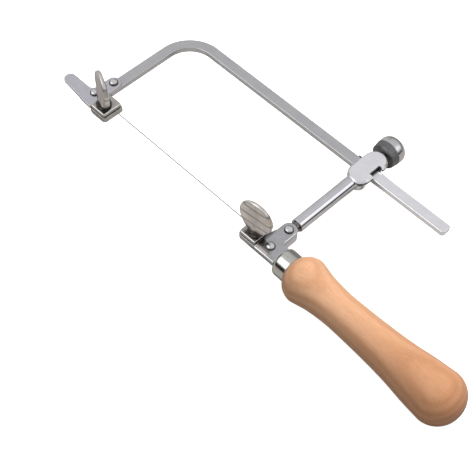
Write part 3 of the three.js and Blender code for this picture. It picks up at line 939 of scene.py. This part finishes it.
def make_block(material):
    """Lock block: a flat pill-shaped cap over a round core, with the bar's window through both, a notch
    where the spine comes out, and the bores for the rod and the lock stud."""
    low, high = span("slide_block")
    core_x, core_radius, boss_radius = BLOCK["core_x"], BLOCK["core_radius"], BLOCK["boss_radius"]
    half, from_y, to_y = WINDOW["half"], WINDOW["low"], WINDOW["high"]
    cap = pill(BLOCK["cap_x"], BLOCK["cap_radius"])
    block = prism("lock_block", cap, half, high.z, 0, BLOCK["cap_bevel"], 1)
    core = prism("core", pill(core_x, core_radius), -core_radius, high.z - 1.2, 0.6, 0, 4)
    boss_profile = [
        (0, low.z), (boss_radius - 0.5, low.z), (boss_radius - 0.15, low.z + 0.15),
        (boss_radius, low.z + 0.5), (boss_radius, 0), (0, 0),
    ]
    boss = turned("boss", boss_profile, "z", 64, (core_x, BLOCK["low_lobe"], 0))
    carve(block, "UNION", core, boss)
    window = box_piece((-10, from_y, -half), (10, to_y, half))
    waist = box_piece((WAIST["x"], from_y, -10), (10, WAIST["high"], 10))
    socket = cylinder(ROD["radius"] + 0.12, 40, ROD["top"] + 0.1, "y")
    bore = cylinder(ROD["spigot"] + 0.1, 40, ROD["spigot_top"] + 0.2, "y")
    thread = cylinder(BLOCK["thread_radius"], to_y - 1, 90, "y")
    carve(block, "DIFFERENCE", window, waist, socket, bore, thread)
    finished(block, "slide_block", "grip", material, 30)


def make_shoe(material):
    """Thin plate that the lock stud presses on to the spine."""
    low, high = span("lock_shoe")
    outline = rounded_rectangle(low.x, low.y, high.x, high.y, 0.25)
    shoe = prism("lock_shoe_plate", outline, low.z, high.z, 0.2, 0.2)
    finished(shoe, "lock_shoe", "shoe", material)


def make_stud(material):
    """Threaded stud of the lock screw, with a plain point."""
    low, high = span("lock_stud")
    start, pitch, depth = STUD["thread_start"], STUD["pitch"], STUD["thread_depth"]
    stud = threaded("lock_stud_thread", (high.x - low.x) / 2, start, high.y, pitch, depth, "y")
    radius, point_end = STUD["point_radius"], start + 0.1
    point_profile = [
        (0, low.y), (radius - 0.2, low.y), (radius, low.y + 0.2), (radius, point_end), (0, point_end),
    ]
    point = turned("point", point_profile, "y", 48)
    finished(joined("lock_stud_screw", stud, point), "lock_stud", "lock_screw", material, 50)


def make_knob(material):
    """Round knob with a slightly tapered, finely fluted side and a domed top."""
    low, high = span("lock_knob")
    radius, bottom_radius, dome, flutes = KNOB["radius"], KNOB["bottom_radius"], KNOB["dome"], KNOB["flutes"]
    side_start, side_end = low.y + 0.5, KNOB["side_end"]
    taper, rise = radius - 0.05 - bottom_radius, side_end - side_start
    shares = [i / 12 for i in range(13)]
    profile = (
        [(0, low.y), (radius - 1.25, low.y), (radius - 0.8, low.y + 0.12)]
        + [(bottom_radius + taper * share, side_start + rise * share) for share in shares]
        + [(radius, low.y + 5.5)]
        + round_off(radius - dome, high.y - dome - 0.4, dome, dome, 4, 84, 22)
        + [(1.2, high.y - 0.03), (0, high.y)]
    )
    knob = turned("lock_knob_round", profile, "y", flutes * 8)
    for vertex in knob.data.vertices:
        x, y, z = (vertex.co - ORIGIN) / MM
        if side_start + 0.1 < y < side_end - 0.1 and math.hypot(x, z) > radius - 1:
            wave = 0.5 - 0.5 * math.cos(flutes * math.atan2(z, x))
            shrink = 1 - KNOB["flute_depth"] * wave / radius
            vertex.co = at(x * shrink, y, z * shrink)
    carve(knob, "DIFFERENCE", cylinder(KNOB["bore"], low.y - 1, low.y + KNOB["bore_depth"], "y"))
    finished(knob, "lock_knob", "lock_screw", material, 28)


# ---- Rod ----

def make_rod(material):
    """Round rod with a spigot in the lock block, a narrow neck, and a flat foot under the rear plate."""
    low, _ = span("rear_rod")
    radius, foot_y, top, edge = ROD["radius"], ROD["foot"], ROD["top"], ROD["edge"]
    neck, neck_y, spigot, spigot_top = ROD["neck"], ROD["neck_y"], ROD["spigot"], ROD["spigot_top"]
    profile = (
        [(0, neck_y - 3), (neck, neck_y - 3), (neck, foot_y - 0.02)]
        + round_off(radius - edge, foot_y + edge, edge, edge, -90, 0, 6)
        + round_off(radius - edge, top - edge, edge, edge, 0, 90, 6)
        + [(spigot, top), (spigot, spigot_top), (0, spigot_top)]
    )
    rod = turned("rear_round_rod", profile, "y", 96)
    foot_top = span("rear_plate")[0].z - 0.05
    carve(rod, "DIFFERENCE", box_piece((-10, -10, foot_top - 0.02), (10, neck_y, 10)))
    lobe, lobe_x, lobe_y = ROD_FOOT["lobe"], REAR_PLATE["lobe_x"], ROD_FOOT["lobe_y"]
    outline = [(low.x, low.y), (lobe_x + lobe, low.y)] + arc(lobe_x, lobe_y, lobe, 0, 180, 32)
    carve(rod, "UNION", prism("foot", outline, ROD_FOOT["bottom"], foot_top, *ROD_FOOT["bevels"]))
    rivet_holes(rod, "rear_rod_rivet")
    finished(rod, "rear_rod", "grip", material)


# ---- Handle ----

def along_handle(name, profile, steps):
    """A shape turned about the handle's axis."""
    return turned(name, profile, "x", steps, (0, HANDLE["y"], 0), HANDLE["tilt"])


def make_ferrule(material):
    """Metal cup round the handle's neck, with a hole for the tang."""
    start, end, radius = HANDLE["ferrule"], HANDLE["ferrule_end"], HANDLE["ferrule_radius"]
    wall, shoulder, bore = FERRULE["wall"], FERRULE["shoulder"], HANDLE["bore"]
    inner_shoulder = shoulder - wall
    edge = radius - shoulder
    profile = (
        [(0, start)] + round_off(edge, start + shoulder, shoulder, shoulder, -90, 0, 14)
        + [(radius, end - 0.45), (radius - 0.02, end - 0.3), (radius - 0.12, end - 0.08)]
        + [(radius - 0.3, end), (0, end)]
    )
    inside_profile = (
        [(0, start + wall)] + round_off(edge, start + shoulder, inner_shoulder, inner_shoulder, -90, 0, 8)
        + [(radius - wall, end + 1), (0, end + 1)]
    )
    ferrule = along_handle("ferrule_cup", profile, 128)
    inside = along_handle("inside", inside_profile, 96)
    bore_hole = along_handle("bore", [(0, 0), (bore, 0), (bore, 20), (0, 20)], 48)
    carve(ferrule, "DIFFERENCE", inside, bore_hole)
    finished(ferrule, "ferrule", "grip", material)


def smooth_through(points, steps):
    """A Catmull-Rom curve through a list of points."""
    padded = [points[0], *points, points[-1]]
    result = []
    for i in range(1, len(padded) - 2):
        p0, p1, p2, p3 = (Vector(p) for p in padded[i - 1:i + 3])
        for step in range(steps):
            t = step / steps
            result.append(tuple(0.5 * (
                2 * p1 + (p2 - p0) * t + (2 * p0 - 5 * p1 + 4 * p2 - p3) * t * t
                + (3 * p1 - p0 - 3 * p2 + p3) * t ** 3
            )))
    result.append(tuple(points[-1]))
    return result


def make_handle(material):
    """Turned wooden handle: a neck in the ferrule, a swelling, a waist and a round butt."""
    ferrule_radius, butt, butt_radius = HANDLE["ferrule_radius"], HANDLE["butt"], HANDLE["butt_radius"]
    shoulder = HANDLE["ferrule_end"] + 0.25
    neck = ferrule_radius - 1
    start = HANDLE["ferrule"] + 2.4
    swell = smooth_through([
        (ferrule_radius + 0.2, shoulder), (9.5, 18.7), (11.1, 20.9), (12.3, 24.8), (11.7, 28.8),
        (10.3, 35.5), (9.4, 46), (9.5, 57), (10.2, 73), (11.2, 86), (12.7, 97.5), (butt_radius, butt),
    ], 6)
    profile = (
        [(0, start), (neck - 0.8, start), (neck, start + 0.8), (neck, shoulder)]
        + swell[:-1]
        + round_off(0, butt, butt_radius, HANDLE["end"] - butt, 0, 86, 30)
        + [(0, HANDLE["end"])]
    )
    handle = along_handle("wooden_handle", profile, 128)
    bore, reach = HANDLE["bore"], span("rear_jaw_base")[1].x + 2
    carve(handle, "DIFFERENCE", along_handle("bore", [(0, 0), (bore, 0), (bore, reach), (0, reach)], 48))
    finished(handle, "handle", "grip", material)


# ---- Blade ----

def make_blade(material):
    """Fine blade: two plain ends and a row of teeth on the side away from the spine."""
    low, high = span("saw_blade")
    plain_end, pitch, depth = TEETH["plain_end"], TEETH["pitch"], TEETH["depth"]
    outline = [(low.x, high.y), (low.x, low.y)]
    for i in range(int((high.x - low.x - 2 * plain_end) / pitch)):
        x = low.x + plain_end + i * pitch
        outline += [(x, low.y + depth), (x + pitch * 0.75, low.y), (x + pitch * 0.95, low.y)]
    outline += [(high.x, low.y), (high.x, high.y)]
    blade = prism("saw_blade_toothed", outline, low.z, high.z, 0, 0)
    finished(blade, "saw_blade", "grip", material)


# ---- Everything together ----

make_camera()
make_world()
make_floor()
make_key_light()
bpy.context.scene.view_settings.view_transform = "Standard"

bar_chrome = metal("bar_chrome", (0.965, 0.96, 0.985), 0.20, ALONG_X, 0.10, 0.03, spots=0.25)
# Painted light: the bow's base colour is darker up to just past the lock block, so its end looks brighter.
painted_light_towards_end(bar_chrome, 0.5, 9, 1.62)

plate_metal = metal("plate_metal", (0.66, 0.645, 0.69), 0.24, ALONG_X, 0.12, 0.04, spots=0.35)

rear_metal = metal("rear_plate_metal", (0.52, 0.52, 0.53), 0.20, ALONG_X, 0.10, 0.10, spots=0.5)
# Painted highlight: near-white along the rear plate's top bevel.
painted_light_and_shade(rear_metal, PAINTED_HIGHLIGHT, 0.9, ("Z", PLATE_TOP - 0.62, PLATE_TOP - 0.06, 0.04))
# Painted shade on the rear plate beside the pad and under the paddle.
painted_light_and_shade(rear_metal, PAINTED_SHADE, 0.85, ("X", -9, -3.6, 1.4), ("Y", -4, 3, 2.5), ("Z", 3, 4, 0.1))

rivet_metal = metal("rivet_metal", (0.80, 0.80, 0.80), 0.20, EVEN, 0.05, 0.03)
# Painted shade: a dark ring round the foot of each rivet's dome.
painted_light_and_shade(rivet_metal, PAINTED_SHADE, 0.95, ("Z", 3, 4.4, 0.45), patchy=0.15, dull=0.2)

upright = (12, 12, 1)
clamp_metal = metal("clamp_metal", (0.74, 0.695, 0.655), 0.38, upright, 0.45, 0.18, spots=0.7, pits=0.35)
# Painted shade: dark lines along the paddle ridges.
striped(clamp_metal, RIDGE_SHADE, 0.75, "Z", CLAMP_DISC_Z + RIDGE["first"], RIDGE["pitch"], 0.75)
# Painted shade on the screw hubs and the foot of their paddles.
painted_light_and_shade(clamp_metal, PAINTED_SHADE, 0.97, ("Z", -4, 7.9, 1.6), patchy=0.3, dull=0.2)

pad_metal = metal("pad_metal", (0.52, 0.495, 0.47), 0.22, ALONG_X, 0.2, 0.10, spots=0.4)
pad_top_face = ("Z", 3.9, 4.2, 0.05)
# Painted shade on the tops of the rear and front pads, round the screw hubs.
painted_light_and_shade(pad_metal, PAINTED_SHADE, 0.65, ("X", -11, -5, 2.5), ("Y", -5, 1, 1.5), pad_top_face, patchy=0.7)
painted_light_and_shade(pad_metal, PAINTED_SHADE, 0.7, ("X", -126, -121, 2), ("Y", -5.5, 0.5, 1.5), pad_top_face, patchy=0.7)
pad_top_edge = ("Z", PAD_TOP - 0.6, PAD_TOP - 0.05, 0.04)
# Painted highlight: near-white along the pads' top edges.
painted_light_and_shade(pad_metal, PAINTED_HIGHLIGHT, 0.7, pad_top_edge, ("X", -140, PAD_END - 0.7, 0.1))

block_metal = metal("block_metal", (0.97, 0.965, 0.99), 0.27, ALONG_Y, 0.10, 0.03)
# Painted shade on the block's core, boss and lower cap side, under the cap.
painted_light_and_shade(block_metal, PAINTED_SHADE, 0.96, ("Z", -2.2, 2.8, 0.3), patchy=0.2, dull=0.2)
# Painted shade on the wall of the notch where the spine comes out.
notch_wall = [("X", 4.5, 4.7, 0.05), ("Y", WINDOW["low"], WAIST["high"], 0.02), ("Z", 2, 4.25, 0.05)]
painted_light_and_shade(block_metal, PAINTED_SHADE, 0.93, *notch_wall, patchy=0.12, dull=0.3)

knob_metal = metal("knob_metal", (0.66, 0.65, 0.64), 0.24, EVEN, 0.08, 0.07)
# Painted reflection: the knob's side band is painted dark, standing in for dark surroundings it mirrors.
painted_light_and_shade(knob_metal, (0.17, 0.17, 0.175), 0.95, ("Y", 79, KNOB["side_end"], 0.2), patchy=0.1, dull=0.16)

rod_metal = metal("rod_metal", (0.72, 0.715, 0.745), 0.09, ALONG_Y, 0.06, 0.03)
# Painted shade in the rod's neck groove above its foot.
painted_light_and_shade(rod_metal, PAINTED_SHADE, 0.9, ("Y", 14.6, 16.45, 0.1))

ferrule_metal = metal("ferrule_metal", (0.66, 0.65, 0.61), 0.17, EVEN, 0.10, 0.08, spots=0.45)
shoe_metal = metal("shoe_metal", (0.08, 0.08, 0.085), 0.4, ALONG_X, 0.2, 0.1)
stud_metal = metal("stud_metal", (0.36, 0.36, 0.37), 0.3, ALONG_Y, 0.2, 0.08)
blade_metal = metal("blade_metal", (0.42, 0.42, 0.44), 0.32, ALONG_X, 0.2, 0.08)

make_bow(bar_chrome)
make_front_plate(plate_metal)
make_front_jaw(pad_metal)
make_rear_plate(rear_metal)
make_rear_jaw(rear_metal)
for end_body, places in (("bow", ("front_arm", "front_tongue")), ("grip", ("rear_rod", "rear_base"))):
    for place in places:
        make_rivet(place + "_rivet", end_body, rivet_metal)
for end, turn in WING_TURN.items():
    screw, pad = end + "_wing_screw", end + "_jaw_pad"
    make_pad(pad, screw, end + "_jaw", pad_metal)
    make_wing_screw(screw, pad, end + "_screw", turn, clamp_metal)
make_block(block_metal)
make_shoe(shoe_metal)
make_stud(stud_metal)
make_knob(knob_metal)
make_rod(rod_metal)
make_ferrule(ferrule_metal)
make_handle(beech_wood())
make_blade(blade_metal)

bpy.context.view_layer.update()
